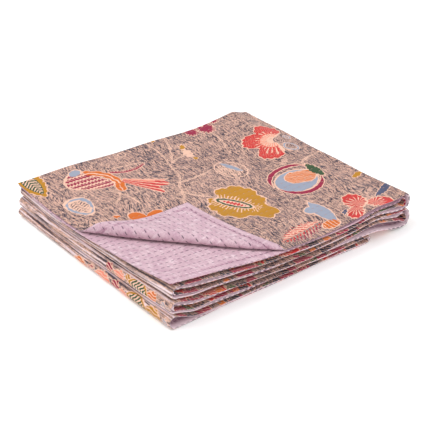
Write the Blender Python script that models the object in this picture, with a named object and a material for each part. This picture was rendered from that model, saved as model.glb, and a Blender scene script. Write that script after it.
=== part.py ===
"""Kantha quilt, folded flat, with the front corner of its top sheet turned back.

Two cloths stitched into one quilt: a printed face and a plain back.  The folded quilt is one
back-and-forth section of twelve sheets, swept from the near edge (-Y) to the far edge (+Y).
The strip starts at the free left end of the top sheet, goes round the outer folds to the floor
and comes back through the inner folds to the free left end of the second sheet.
"""

import math

import bpy
import numpy as np
from mathutils import Vector
from mathutils.geometry import delaunay_2d_cdt

# ---- sizes, metres ----
LENGTH = 0.55  # left folds to right folds
WIDTH = 0.48  # near edge to far edge
CLOTH = 0.0010  # one cloth
STITCH_GAP = 0.0004  # between the two cloths
QUILT = 2 * CLOTH + STITCH_GAP
SHEETS = 12
MM = 0.001

# Height of the stack, in mm, over the footprint: a row from the left folds to the right ones
# for each line from the near edge (first) to the far edge (last).  The corners are puffy.
STACK = (
    (92, 76, 64, 65, 89),
    (78, 69, 62, 63, 85),
    (66, 65, 62, 62, 83),
    (62, 64, 63, 63, 81),
    (73, 70, 67, 65, 79),
)

# How the air in the stack is shared between the gaps, in thousandths, from the left folds to
# the right ones.  A row for the gap under each sheet.
SHARES = (
    (44, 64, 60, 90, 190),  # 1 over 2: free hems left
    (61, 94, 110, 46, 24),  # 2 over 3: ring right
    (123, 84, 80, 84, 176),
    (123, 104, 110, 70, 34),
    (123, 84, 70, 60, 160),
    (61, 104, 110, 46, 24),  # 6 over 7: ring right
    (114, 84, 90, 334, 262),  # 7 over 8: open pocket before the right fold
    (115, 104, 110, 60, 34),
    (114, 84, 70, 60, 32),
    (52, 114, 120, 90, 32),
    (70, 80, 70, 60, 32),  # 11 over 12: closing fold left
)

# The gaps under these sheets open into a ring at the right folds, with air from the gaps
# above and below them: where the ring begins, how far on it is widest, and its share.
RINGS = {2: 0.160, 6: 0.160}
RING_FROM = 0.5225
RING_LONG = 0.0125

# The lowest gap opens wider towards the closing fold at the left, with air from all the others.
LOWEST_GAP = 11
CLOSING_SHARE = 0.248
CLOSING_LONG = 0.055

# Edges of each sheet, in mm from the nominal outline: near edge at the left, mid-length and
# right, then the far edge at the same places.
EDGES = (
    (-3, -4, 0, 2, 0, -3),
    (1, -5, 1, -2, 2, 0),
    (-4, -9, -2, 0, 3, 1),
    (0, -3, 0, 3, 0, 2),
    (-2, -8, -1, -2, -3, 0),
    (1, -4, 2, 1, 2, -2),
    (-5, -10, -2, 4, 4, 1),
    (-2, -3, -1, 0, -2, 3),
    (-3, -7, 0, -3, 1, 0),
    (-1, -2, 3, 2, 4, 2),
    (-5, -3, -4, 5, 0, -2),
    (-4, 1, 0, 1, 3, 1),
)

# Folds in the order the strip takes them: side (-1 left, 1 right), sheet before, sheet after,
# bulge, then how far out the fold reaches at the near edge, mid-width and the far edge (mm,
# from the nominal end on that side, outwards positive).
FOLDS = (
    (1, 1, 4, 11.0, 2, 1, 4),
    (-1, 4, 5, 4.5, -6, -9, -6),
    (1, 5, 8, 11.0, 5, 2, 1),
    (-1, 8, 9, 4.5, -3, -5, -3),
    (1, 9, 12, 6.4, -98, -70, -42),
    (-1, 12, 11, 11.5, 6, 7, 6),
    (1, 11, 10, 2.9, -101.5, -73.5, -45.5),
    (-1, 10, 7, 10.0, 2, 1, 3),
    (1, 7, 6, 6.8, -4.5, -6.0, -6.5),
    (-1, 6, 3, 10.5, -1, -4, -1),
    (1, 3, 2, 6.8, -8.0, -8.0, -5.0),
)
BOTTOM_FOLD = FOLDS[4]
UPPER_SHEETS = 8  # these run past the bottom fold on the right and come down beyond it
HEM_1 = (3, 1, 4)  # reach of the free left ends
HEM_2 = (0, 4, 3)
RIPPLE = 0.22  # how far a sheet's own ripple may use up the gaps beside it

# Turned-back corner, in metres along the cloth's edges from its corner.
CREASE_ON_END = 0.281  # where the crease leaves the left end
CREASE_ON_SIDE = 0.247  # where it leaves the near edge
BOW = 0.019  # the crease bows this far towards the corner at its middle
ROLL_LEFT = 0.0108  # radius of the soft roll
ROLL_RIGHT = 0.0035
LEAN = 0.26  # the flap leans this much towards the left end
FLAP_LIES = QUILT + 0.0012  # centre of the flap above the centre of the top sheet

# ---- mesh ----
FLAT_STATIONS = (0.0, 0.03, 0.09, 0.18, 0.28, 0.39, 0.50, 0.61, 0.72, 0.82, 0.91, 0.97)
RING_STATIONS = (0.978, 0.985, 0.992)  # added where a flat ends in a ring
FOLD_STEPS = 7
ROWS = (0.0, 0.05, 0.16, 0.30, 0.46, 0.62, 0.80, 0.94, 1.0)
ROLL_STEPS = 5


def ease(t):
    t = np.clip(t, 0.0, 1.0)
    return t * t * (3 - 2 * t)


def knot_weights(t, knots):
    """Weights of evenly spaced knots at t (0 to 1), for a smooth line through their values."""
    at = np.clip(t, 0, 1) * (knots - 1)
    i = np.minimum(at.astype(int), knots - 2)
    f = at - i
    near = (
        (-f + 2 * f**2 - f**3) / 2,
        (2 - 5 * f**2 + 3 * f**3) / 2,
        (f + 4 * f**2 - 3 * f**3) / 2,
        (f**3 - f**2) / 2,
    )
    weights = np.zeros((knots,) + np.shape(at))
    for step, weight in enumerate(near):
        knot = i + step - 1
        # Past an end the line runs straight on.
        before, after = knot < 0, knot > knots - 1
        for k in range(knots):
            weights[k] += weight * (knot == k)
        weights[0] += weight * before * 2
        weights[1] -= weight * before
        weights[knots - 1] += weight * after * 2
        weights[knots - 2] -= weight * after
    return weights


def along(values, x):
    """A value that runs smoothly through evenly spaced values as x crosses the quilt."""
    weights = knot_weights(np.asarray(x, float) / LENGTH, len(values))
    return sum(weight * value for weight, value in zip(weights, values))


def across(near, middle, far, v):
    """A value that goes through near, middle and far as v goes from 0 to 1."""
    return near * (1 - v) * (1 - 2 * v) + 4 * middle * v * (1 - v) + far * v * (2 * v - 1)


def air(x, v):
    """All the air in the stack at a place."""
    rows = knot_weights(np.asarray(v, float), len(STACK))
    stack = sum(weight * along(row, x) for weight, row in zip(rows, STACK))
    swell = 1 + 0.03 * np.sin(21.0 * x + 5.0 * v) * np.sin(9.0 * x - 13.0 * v + 1.0)
    return (stack * MM - SHEETS * QUILT) * swell


def gap(under, x, v):
    """Clear gap under a sheet, 1 being the top one."""
    share = along(SHARES[under - 1], x) / 1000
    opening = ease((np.asarray(x, float) - RING_FROM) / RING_LONG)
    for ring, extra in RINGS.items():
        if under == ring:
            share = share + extra * opening
        elif abs(under - ring) == 1:
            share = share - extra / 2 * opening
    closing = CLOSING_SHARE * (1 - ease(np.asarray(x, float) / CLOSING_LONG))
    if under == LOWEST_GAP:
        share = share + closing
    else:
        share = share * (1 - closing / (1 - along(SHARES[LOWEST_GAP - 1], x) / 1000))
    return share * air(x, v)


def height(sheet, x, v):
    """Centre height of a sheet: the sheets and gaps below it, and a ripple of its own."""
    x, v = np.asarray(x, float), np.asarray(v, float)
    gaps = {k: gap(k, x, v) for k in range(max(sheet - 1, 1), SHEETS)}
    z = QUILT / 2 + (SHEETS - sheet) * QUILT + 0 * x
    z = z + sum(gaps[k] for k in range(sheet, SHEETS))
    if sheet < SHEETS:
        room = np.minimum(gaps[sheet], gaps[max(sheet - 1, 1)])
        z = z + RIPPLE * room * np.sin(23.0 * x + 2.3 * sheet) * np.cos(7.0 * v + 1.7 * sheet)
    if sheet <= UPPER_SHEETS:
        side, _, _, _, near, middle, far = BOTTOM_FOLD
        end = reach(side, near, middle, far, v)
        bottom = (SHEETS - UPPER_SHEETS) * QUILT
        bottom = bottom + sum(gaps[k] for k in range(UPPER_SHEETS, SHEETS) if k in gaps)
        z = z - bottom * 0.84 * ease((x - end) / (0.9 * (LENGTH - end)))
    return z


def edges(sheet, x):
    """Near and far edge of a sheet at x."""
    row = EDGES[sheet - 1]
    wave = 1.2 * np.sin(31.0 * x + 1.9 * sheet)
    near = (along(row[:3], x) + wave) * MM
    far = WIDTH + (along(row[3:], x) - wave) * MM
    return near, far


def reach(side, near, middle, far, v):
    """X of a fold's outermost line, or of a free end."""
    out = across(near, middle, far, v) * MM
    return LENGTH + out if side > 0 else -out


def fold_start(fold, v):
    side, _, _, bulge, near, middle, far = fold
    return reach(side, near, middle, far, v) - side * bulge * MM


def segments():
    """The strip as a list of flats and folds, each with its length along the cloth."""
    order = [1] + [fold[2] for fold in FOLDS]
    out = []
    for i, sheet in enumerate(order):
        start = FOLDS[i - 1] if i else None
        end = FOLDS[i] if i < len(FOLDS) else None
        x0 = fold_start(start, 0.5) if start else reach(-1, *HEM_1, 0.5)
        x1 = fold_start(end, 0.5) if end else reach(-1, *HEM_2, 0.5)
        out.append({"sheet": sheet, "start": start, "end": end, "long": abs(x1 - x0)})
        if end:
            x = fold_start(end, 0.5)
            rise = abs(height(end[1], x, 0.5) - height(end[2], x, 0.5)) / 2
            bulge = end[3] * MM
            out.append({"fold": end, "long": math.pi * math.sqrt((rise**2 + bulge**2) / 2)})
    at = 0.0
    for part in out:
        part["at"] = at
        at += part["long"]
    return out


def place_flat(part, f, v):
    x0 = fold_start(part["start"], v) if part["start"] else reach(-1, *HEM_1, v)
    x1 = fold_start(part["end"], v) if part["end"] else reach(-1, *HEM_2, v)
    x = x0 + f * (x1 - x0)
    near, far = edges(part["sheet"], x)
    return np.stack([x, near + v * (far - near), height(part["sheet"], x, v)], axis=-1)


def place_fold(part, f, v):
    side, before, after, bulge = part["fold"][:4]
    x0 = fold_start(part["fold"], v)
    turn = math.pi * f
    z0, z1 = height(before, x0, v), height(after, x0, v)
    mix = (1 - np.cos(turn)) / 2
    near = edges(before, x0)[0] * (1 - mix) + edges(after, x0)[0] * mix
    far = edges(before, x0)[1] * (1 - mix) + edges(after, x0)[1] * mix
    x = x0 + side * bulge * MM * np.sin(turn)
    return np.stack([x, near + v * (far - near), z0 * (1 - mix) + z1 * mix], axis=-1)


def place_strip(strip, s, w):
    """Centre surface of the folded strip, for points s along and w across the flat cloth."""
    points = np.zeros((len(s), 3))
    starts = np.array([part["at"] for part in strip])
    which = np.clip(np.searchsorted(starts, s, side="right") - 1, 0, len(strip) - 1)
    for i, part in enumerate(strip):
        mine = which == i
        if mine.any():
            f = np.clip((s[mine] - part["at"]) / part["long"], 0, 1)
            put = place_fold if "fold" in part else place_flat
            points[mine] = put(part, f, w[mine] / WIDTH)
    return points


CREASE_LONG = math.hypot(CREASE_ON_SIDE, CREASE_ON_END)
CREASE_WAY = np.array([CREASE_ON_SIDE, -CREASE_ON_END]) / CREASE_LONG  # left end to near edge
CORNER_WAY = -np.array([CREASE_ON_END, CREASE_ON_SIDE]) / CREASE_LONG  # crease to the corner


def roll_radius(t):
    return ROLL_LEFT + (ROLL_RIGHT - ROLL_LEFT) * t / CREASE_LONG


def bow(t):
    f = np.clip(t / CREASE_LONG, 0, 1)
    return BOW * 4 * f * (1 - f)


def place(strip, s, w):
    """Centre surface with the front corner of the top sheet turned back."""
    points = place_strip(strip, s, w)
    from_crease = np.stack([s, w - CREASE_ON_END], axis=-1)
    t = np.clip(from_crease @ CREASE_WAY, 0, CREASE_LONG)
    past = from_crease @ CORNER_WAY - bow(t)
    flap = (past > 1e-9) & (s < strip[0]["long"])
    if not flap.any():
        return points
    past, t = past[flap], t[flap]
    foot = np.array([0, CREASE_ON_END]) + t[:, None] * CREASE_WAY
    foot = foot + bow(t)[:, None] * CORNER_WAY
    hinge = place_strip(strip, foot[:, 0], foot[:, 1])
    r = roll_radius(t)
    turn = np.minimum(past / r, math.pi)
    beyond = np.maximum(past - math.pi * r, 0)
    plan = hinge[:, :2] + CORNER_WAY * (r * np.sin(turn) - beyond)[:, None]
    plan = plan - CREASE_WAY * (LEAN * beyond)[:, None]
    under = height(1, plan[:, 0], np.clip(plan[:, 1] / WIDTH, 0, 1))
    settle = np.exp(-((beyond / 0.045) ** 2))
    lift = FLAP_LIES + (2 * r - FLAP_LIES) * settle
    rolled = hinge[:, 2] + r * (1 - np.cos(turn))
    z = np.where(beyond > 0, under + lift, rolled)
    points[flap] = np.column_stack([plan, z])
    return points


def steps_of(part):
    """Where the mesh has points along a fold or a flat, as fractions of it."""
    if "fold" in part:
        return [i / FOLD_STEPS for i in range(FOLD_STEPS)]
    steps = list(FLAT_STATIONS)
    if part["end"] and part["end"][0] > 0 and part["end"][2] in RINGS:
        steps += RING_STATIONS
    if part["start"] and part["start"][0] > 0 and part["start"][2] in RINGS:
        steps += [1 - f for f in RING_STATIONS]
    return sorted(steps)


def flat_mesh(strip):
    """Triangles over the flat cloth, with rows of points that follow the crease."""
    stations = []
    for part in strip:
        stations += [part["at"] + f * part["long"] for f in steps_of(part)]
    stations.append(strip[-1]["at"] + strip[-1]["long"])
    s, w = np.meshgrid(stations, [v * WIDTH for v in ROWS], indexing="ij")
    grid = np.column_stack([s.ravel(), w.ravel()])
    t = np.clip((grid - [0, CREASE_ON_END]) @ CREASE_WAY, 0, CREASE_LONG)
    past = (grid - [0, CREASE_ON_END]) @ CORNER_WAY - bow(t)
    clear = 0.010
    keep = (past < -clear) | (past > math.pi * roll_radius(t) + clear) | (grid[:, 0] > 0.30)
    points = [Vector(p) for p in grid[keep]]
    lines = []
    for step in range(ROLL_STEPS + 1):
        turn = math.pi * step / ROLL_STEPS
        # A roll line starts on the left end and stops on the near edge.
        inset_end = turn * ROLL_LEFT * CREASE_LONG / CREASE_ON_SIDE
        inset_side = turn * ROLL_RIGHT * CREASE_LONG / CREASE_ON_END
        a = Vector((0.0, CREASE_ON_END - inset_end))
        b = Vector((CREASE_ON_SIDE - inset_side, 0.0))
        row = [a.lerp(b, i / 9) for i in range(10)]
        lines += [(len(points) + i, len(points) + i + 1) for i in range(9)]
        points += [p + Vector(CORNER_WAY * bow(i / 9 * CREASE_LONG)) for i, p in enumerate(row)]
    verts, _, faces, _, _, _ = delaunay_2d_cdt(points, lines, [], 0, 1e-6)
    return np.array([tuple(p) for p in verts]), np.array(faces)


def vertex_normals(points, faces):
    a, b, c = (points[faces[:, i]] for i in range(3))
    facing = np.cross(b - a, c - a)
    normals = np.zeros_like(points)
    for i in range(3):
        np.add.at(normals, faces[:, i], facing)
    return normals / np.linalg.norm(normals, axis=1)[:, None]


def boundary(faces):
    """Edges that only one triangle uses, in that triangle's direction."""
    used = {(a, b) for face in faces for a, b in zip(face, np.roll(face, -1))}
    return [(a, b) for a, b in used if (b, a) not in used]


def cloth(name, points, normals, faces, inner, outer, colour, roughness):
    """One cloth of the quilt: the centre surface moved out to two faces and closed."""
    n = len(points)
    verts = np.vstack([points + normals * outer, points + normals * inner])
    rim = sorted(boundary(faces))
    tris = [tuple(f) for f in faces] + [(f[2] + n, f[1] + n, f[0] + n) for f in faces]
    tris += [(b, a, a + n) for a, b in rim] + [(b, a + n, b + n) for a, b in rim]
    mesh = bpy.data.meshes.new(name)
    mesh.from_pydata(verts.tolist(), [], [[int(i) for i in tri] for tri in tris])
    mesh.validate()
    for polygon in mesh.polygons:
        polygon.use_smooth = True
    material = bpy.data.materials.new(name + "_material")
    material.use_nodes = True
    shader = material.node_tree.nodes["Principled BSDF"]
    shader.inputs["Base Color"].default_value = (*colour, 1)
    shader.inputs["Roughness"].default_value = roughness
    material.diffuse_color = (*colour, 1)
    mesh.materials.append(material)
    piece = bpy.data.objects.new(name, mesh)
    bpy.context.scene.collection.objects.link(piece)
    return piece


def main():
    for old in list(bpy.data.objects):
        bpy.data.objects.remove(old, do_unlink=True)
    strip = segments()
    flat, faces = flat_mesh(strip)
    points = place(strip, flat[:, 0], flat[:, 1])
    normals = vertex_normals(points, faces)
    half = STITCH_GAP / 2
    thick = normals * (half + CLOTH)
    skin = np.vstack([points + thick, points - thick])
    points[:, :2] -= (skin.min(axis=0) + skin.max(axis=0))[:2] / 2
    tan, lilac = (0.36, 0.29, 0.26), (0.62, 0.42, 0.54)
    cloth("face_cloth", points, normals, faces, half, half + CLOTH, tan, 0.9)
    cloth("back_cloth", points, normals, faces, -half - CLOTH, -half, lilac, 0.9)


main()
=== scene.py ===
"""Kantha quilt, folded flat, with the front corner of its top sheet turned back.

The printed face and the plain back are two pieces over the CAD strip's own folds, the running
stitch is a piece of real threads, and the print is drawn by nodes in cloth coordinates.
"""

import math
from functools import partial, reduce

import bpy
import numpy as np
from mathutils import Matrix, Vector


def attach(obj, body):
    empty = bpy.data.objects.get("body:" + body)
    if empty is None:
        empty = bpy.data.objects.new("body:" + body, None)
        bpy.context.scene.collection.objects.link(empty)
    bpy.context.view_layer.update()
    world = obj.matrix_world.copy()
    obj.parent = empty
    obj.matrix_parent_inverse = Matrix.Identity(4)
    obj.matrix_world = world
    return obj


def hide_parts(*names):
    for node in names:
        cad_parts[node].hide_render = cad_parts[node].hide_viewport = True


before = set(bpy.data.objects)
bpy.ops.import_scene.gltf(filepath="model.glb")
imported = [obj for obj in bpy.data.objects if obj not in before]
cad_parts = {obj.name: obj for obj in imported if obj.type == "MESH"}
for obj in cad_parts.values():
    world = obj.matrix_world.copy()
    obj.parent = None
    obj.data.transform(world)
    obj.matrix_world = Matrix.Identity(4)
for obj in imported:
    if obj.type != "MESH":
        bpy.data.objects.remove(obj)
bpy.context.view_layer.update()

# ---- sizes, metres ----
LENGTH = 0.55  # left folds to right folds
WIDTH = 0.48  # near edge to far edge
CLOTH = 0.0010  # one cloth
STITCH_GAP = 0.0004  # between the two cloths
QUILT = 2 * CLOTH + STITCH_GAP
SHEETS = 12
MM = 0.001

# Height of the stack, in mm, over the footprint: a row from the left folds to the right ones
# for each line from the near edge (first) to the far edge (last).  The corners are puffy.
STACK = (
    (92, 76, 64, 65, 89),
    (78, 69, 62, 63, 85),
    (66, 65, 62, 62, 83),
    (62, 64, 63, 63, 81),
    (73, 70, 67, 65, 79),
)

# How the air in the stack is shared between the gaps, in thousandths, from the left folds to
# the right ones.  A row for the gap under each sheet.
SHARES = (
    (44, 64, 60, 90, 190),  # 1 over 2: free hems left
    (61, 94, 110, 46, 24),  # 2 over 3: ring right
    (123, 84, 80, 84, 176),
    (123, 104, 110, 70, 34),
    (123, 84, 70, 60, 160),
    (61, 104, 110, 46, 24),  # 6 over 7: ring right
    (114, 84, 90, 334, 262),  # 7 over 8: open pocket before the right fold
    (115, 104, 110, 60, 34),
    (114, 84, 70, 60, 32),
    (52, 114, 120, 90, 32),
    (70, 80, 70, 60, 32),  # 11 over 12: closing fold left
)

# The gaps under these sheets open into a ring at the right folds, with air from the gaps
# above and below them: where the ring begins, how far on it is widest, and its share.
RINGS = {2: 0.160, 6: 0.160}
RING_FROM = 0.5225
RING_LONG = 0.0125

# The lowest gap opens wider towards the closing fold at the left, with air from all the others.
LOWEST_GAP = 11
CLOSING_SHARE = 0.248
CLOSING_LONG = 0.055

# Edges of each sheet, in mm from the nominal outline: near edge at the left, mid-length and
# right, then the far edge at the same places.
EDGES = (
    (-3, -4, 0, 2, 0, -3),
    (1, -5, 1, -2, 2, 0),
    (-4, -9, -2, 0, 3, 1),
    (0, -3, 0, 3, 0, 2),
    (-2, -8, -1, -2, -3, 0),
    (1, -4, 2, 1, 2, -2),
    (-5, -10, -2, 4, 4, 1),
    (-2, -3, -1, 0, -2, 3),
    (-3, -7, 0, -3, 1, 0),
    (-1, -2, 3, 2, 4, 2),
    (-5, -3, -4, 5, 0, -2),
    (-4, 1, 0, 1, 3, 1),
)

# Folds in the order the strip takes them: side (-1 left, 1 right), sheet before, sheet after,
# bulge, then how far out the fold reaches at the near edge, mid-width and the far edge (mm,
# from the nominal end on that side, outwards positive).
FOLDS = (
    (1, 1, 4, 11.0, 2, 1, 4),
    (-1, 4, 5, 4.5, -6, -9, -6),
    (1, 5, 8, 11.0, 5, 2, 1),
    (-1, 8, 9, 4.5, -3, -5, -3),
    (1, 9, 12, 6.4, -98, -70, -42),
    (-1, 12, 11, 11.5, 6, 7, 6),
    (1, 11, 10, 2.9, -101.5, -73.5, -45.5),
    (-1, 10, 7, 10.0, 2, 1, 3),
    (1, 7, 6, 6.8, -4.5, -6.0, -6.5),
    (-1, 6, 3, 10.5, -1, -4, -1),
    (1, 3, 2, 6.8, -8.0, -8.0, -5.0),
)
BOTTOM_FOLD = FOLDS[4]
UPPER_SHEETS = 8  # these run past the bottom fold on the right and come down beyond it
HEM_1 = (3, 1, 4)  # reach of the free left ends
HEM_2 = (0, 4, 3)
RIPPLE = 0.22  # how far a sheet's own ripple may use up the gaps beside it

# Turned-back corner, in metres along the cloth's edges from its corner.
CREASE_ON_END = 0.281  # where the crease leaves the left end
CREASE_ON_SIDE = 0.247  # where it leaves the near edge
BOW = 0.019  # the crease bows this far towards the corner at its middle
ROLL_LEFT = 0.0108  # radius of the soft roll
ROLL_RIGHT = 0.0035
LEAN = 0.26  # the flap leans this much towards the left end
FLAP_LIES = QUILT + 0.0012  # centre of the flap above the centre of the top sheet


def ease(t):
    t = np.clip(t, 0.0, 1.0)
    return t * t * (3 - 2 * t)


def knot_weights(t, knots):
    """Weights of evenly spaced knots at t (0 to 1), for a smooth line through their values."""
    at = np.clip(t, 0, 1) * (knots - 1)
    i = np.minimum(at.astype(int), knots - 2)
    f = at - i
    near = (
        (-f + 2 * f**2 - f**3) / 2,
        (2 - 5 * f**2 + 3 * f**3) / 2,
        (f + 4 * f**2 - 3 * f**3) / 2,
        (f**3 - f**2) / 2,
    )
    weights = np.zeros((knots,) + np.shape(at))
    for step, weight in enumerate(near):
        knot = i + step - 1
        # Past an end the line runs straight on.
        before, after = knot < 0, knot > knots - 1
        for k in range(knots):
            weights[k] += weight * (knot == k)
        weights[0] += weight * before * 2
        weights[1] -= weight * before
        weights[knots - 1] += weight * after * 2
        weights[knots - 2] -= weight * after
    return weights


def along(values, x):
    """A value that runs smoothly through evenly spaced values as x crosses the quilt."""
    weights = knot_weights(np.asarray(x, float) / LENGTH, len(values))
    return sum(weight * value for weight, value in zip(weights, values))


def across(near, middle, far, v):
    """A value that goes through near, middle and far as v goes from 0 to 1."""
    return near * (1 - v) * (1 - 2 * v) + 4 * middle * v * (1 - v) + far * v * (2 * v - 1)


def air(x, v):
    """All the air in the stack at a place."""
    rows = knot_weights(np.asarray(v, float), len(STACK))
    stack = sum(weight * along(row, x) for weight, row in zip(rows, STACK))
    swell = 1 + 0.03 * np.sin(21.0 * x + 5.0 * v) * np.sin(9.0 * x - 13.0 * v + 1.0)
    return (stack * MM - SHEETS * QUILT) * swell


def gap(under, x, v):
    """Clear gap under a sheet, 1 being the top one."""
    share = along(SHARES[under - 1], x) / 1000
    opening = ease((np.asarray(x, float) - RING_FROM) / RING_LONG)
    for ring, extra in RINGS.items():
        if under == ring:
            share = share + extra * opening
        elif abs(under - ring) == 1:
            share = share - extra / 2 * opening
    closing = CLOSING_SHARE * (1 - ease(np.asarray(x, float) / CLOSING_LONG))
    if under == LOWEST_GAP:
        share = share + closing
    else:
        share = share * (1 - closing / (1 - along(SHARES[LOWEST_GAP - 1], x) / 1000))
    return share * air(x, v)


def height(sheet, x, v):
    """Centre height of a sheet: the sheets and gaps below it, and a ripple of its own."""
    x, v = np.asarray(x, float), np.asarray(v, float)
    gaps = {k: gap(k, x, v) for k in range(max(sheet - 1, 1), SHEETS)}
    z = QUILT / 2 + (SHEETS - sheet) * QUILT + 0 * x
    z = z + sum(gaps[k] for k in range(sheet, SHEETS))
    if sheet < SHEETS:
        room = np.minimum(gaps[sheet], gaps[max(sheet - 1, 1)])
        z = z + RIPPLE * room * np.sin(23.0 * x + 2.3 * sheet) * np.cos(7.0 * v + 1.7 * sheet)
    if sheet <= UPPER_SHEETS:
        side, _, _, _, near, middle, far = BOTTOM_FOLD
        end = reach(side, near, middle, far, v)
        bottom = (SHEETS - UPPER_SHEETS) * QUILT
        bottom = bottom + sum(gaps[k] for k in range(UPPER_SHEETS, SHEETS))
        z = z - bottom * 0.84 * ease((x - end) / (0.9 * (LENGTH - end)))
    return z


def edges(sheet, x):
    """Near and far edge of a sheet at x."""
    row = EDGES[sheet - 1]
    wave = 1.2 * np.sin(31.0 * x + 1.9 * sheet)
    near = (along(row[:3], x) + wave) * MM
    far = WIDTH + (along(row[3:], x) - wave) * MM
    return near, far


def reach(side, near, middle, far, v):
    """X of a fold's outermost line, or of a free end."""
    out = across(near, middle, far, v) * MM
    return LENGTH + out if side > 0 else -out


def fold_start(fold, v):
    side, _, _, bulge, near, middle, far = fold
    return reach(side, near, middle, far, v) - side * bulge * MM


def flat_ends(start, end, v):
    """X of both ends of a flat: a fold's start or, where there is no fold, a free hem."""
    x0 = fold_start(start, v) if start else reach(-1, *HEM_1, v)
    x1 = fold_start(end, v) if end else reach(-1, *HEM_2, v)
    return x0, x1


def segments():
    """The strip as a list of flats and folds, each with its length along the cloth."""
    order = [1] + [fold[2] for fold in FOLDS]
    out = []
    for i, sheet in enumerate(order):
        start = FOLDS[i - 1] if i else None
        end = FOLDS[i] if i < len(FOLDS) else None
        x0, x1 = flat_ends(start, end, 0.5)
        out.append({"sheet": sheet, "start": start, "end": end, "long": abs(x1 - x0)})
        if end:
            x = fold_start(end, 0.5)
            rise = abs(height(end[1], x, 0.5) - height(end[2], x, 0.5)) / 2
            bulge = end[3] * MM
            out.append({"fold": end, "long": math.pi * math.sqrt((rise**2 + bulge**2) / 2)})
    at = 0.0
    for part in out:
        part["at"] = at
        at += part["long"]
    return out


def place_flat(part, f, v):
    x0, x1 = flat_ends(part["start"], part["end"], v)
    x = x0 + f * (x1 - x0)
    near, far = edges(part["sheet"], x)
    return np.stack([x, near + v * (far - near), height(part["sheet"], x, v)], axis=-1)


def place_fold(part, f, v):
    side, before, after, bulge = part["fold"][:4]
    x0 = fold_start(part["fold"], v)
    turn = math.pi * f
    z0, z1 = height(before, x0, v), height(after, x0, v)
    mix = (1 - np.cos(turn)) / 2
    near = edges(before, x0)[0] * (1 - mix) + edges(after, x0)[0] * mix
    far = edges(before, x0)[1] * (1 - mix) + edges(after, x0)[1] * mix
    x = x0 + side * bulge * MM * np.sin(turn)
    return np.stack([x, near + v * (far - near), z0 * (1 - mix) + z1 * mix], axis=-1)


def place_strip(strip, s, w):
    """Centre surface of the folded strip, for points s along and w across the flat cloth."""
    points = np.zeros((len(s), 3))
    starts = np.array([part["at"] for part in strip])
    which = np.clip(np.searchsorted(starts, s, side="right") - 1, 0, len(strip) - 1)
    for i, part in enumerate(strip):
        mine = which == i
        if mine.any():
            f = np.clip((s[mine] - part["at"]) / part["long"], 0, 1)
            put = place_fold if "fold" in part else place_flat
            points[mine] = put(part, f, w[mine] / WIDTH)
    return points


CREASE_LONG = math.hypot(CREASE_ON_SIDE, CREASE_ON_END)
CREASE_WAY = np.array([CREASE_ON_SIDE, -CREASE_ON_END]) / CREASE_LONG  # left end to near edge
CORNER_WAY = -np.array([CREASE_ON_END, CREASE_ON_SIDE]) / CREASE_LONG  # crease to the corner


def roll_radius(t):
    return ROLL_LEFT + (ROLL_RIGHT - ROLL_LEFT) * t / CREASE_LONG


def bow(t):
    f = np.clip(t / CREASE_LONG, 0, 1)
    return BOW * 4 * f * (1 - f)


def past_crease(s, w):
    """How far a place is past the crease towards the corner, and how far along the crease."""
    from_crease = np.stack([s, w - CREASE_ON_END], axis=-1)
    t = np.clip(from_crease @ CREASE_WAY, 0, CREASE_LONG)
    return from_crease @ CORNER_WAY - bow(t), t


def place(strip, s, w):
    """Centre surface with the front corner of the top sheet turned back."""
    points = place_strip(strip, s, w)
    past, t = past_crease(s, w)
    flap = (past > 1e-9) & (s < strip[0]["long"])
    if not flap.any():
        return points
    past, t = past[flap], t[flap]
    foot = np.array([0, CREASE_ON_END]) + t[:, None] * CREASE_WAY
    foot = foot + bow(t)[:, None] * CORNER_WAY
    hinge = place_strip(strip, foot[:, 0], foot[:, 1])
    r = roll_radius(t)
    turn = np.minimum(past / r, math.pi)
    beyond = np.maximum(past - math.pi * r, 0)
    plan = hinge[:, :2] + CORNER_WAY * (r * np.sin(turn) - beyond)[:, None]
    plan = plan - CREASE_WAY * (LEAN * beyond)[:, None]
    under = height(1, plan[:, 0], np.clip(plan[:, 1] / WIDTH, 0, 1))
    settle = np.exp(-((beyond / 0.045) ** 2))
    lift = FLAP_LIES + (2 * r - FLAP_LIES) * settle
    rolled = hinge[:, 2] + r * (1 - np.cos(turn))
    z = np.where(beyond > 0, under + lift, rolled)
    points[flap] = np.column_stack([plan, z])
    return points


# ---- the quilt's needlework, metres ----
CENTRE = (0.27404, 0.23732)  # of the footprint, in the strip's own coordinates
ROW_PITCH = 0.0158  # between rows of running stitch
STITCH_PITCH = 0.0122
STITCH_LONG = 0.0066
ROW_SHIFT = 0.618  # each row's stitches start this much of a pitch before the last row's
BACK_SHIFT = 0.5  # and the back's this much of one before the face's
THREAD = 0.0010
HEM_IN = 0.0165  # the hem's stitched line from the edge
SKIN = STITCH_GAP / 2 + CLOTH  # from the quilt's middle surface to its outside
LIP = 0.0011  # how far the rounded edge reaches in
LIP_STEPS = np.array([0, 0.0003, 0.0007, LIP])  # rows of points round it

# ---- inks of the print and colours of the cloths, sRGB 0-255 ----
INKS = {
    "base": (205, 163, 147),
    "tan deep": (190, 148, 132),
    "streak": (100, 86, 96),
    "streak dark": (46, 42, 60),
    "peach": (232, 188, 166),
    "crimson": (150, 32, 66),
    "coral": (200, 56, 54),
    "coral pale": (234, 136, 114),
    "ochre": (184, 128, 28),
    "orange": (208, 104, 32),
    "slate": (150, 156, 174),
    "green": (54, 80, 50),
    "navy": (78, 82, 110),
    "lilac": (210, 179, 189),
    "lilac deep": (186, 145, 164),
    "lilac pale": (240, 220, 226),
    "mauve": (152, 98, 124),
    "thread": (84, 62, 82),
}


def linear(name):
    """An ink as the shader's linear colour."""
    parts = (value / 255 for value in INKS[name])
    return (*(c / 12.92 if c <= 0.04045 else ((c + 0.055) / 1.055) ** 2.4 for c in parts), 1.0)


# ---- arithmetic that becomes nodes ----


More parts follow.
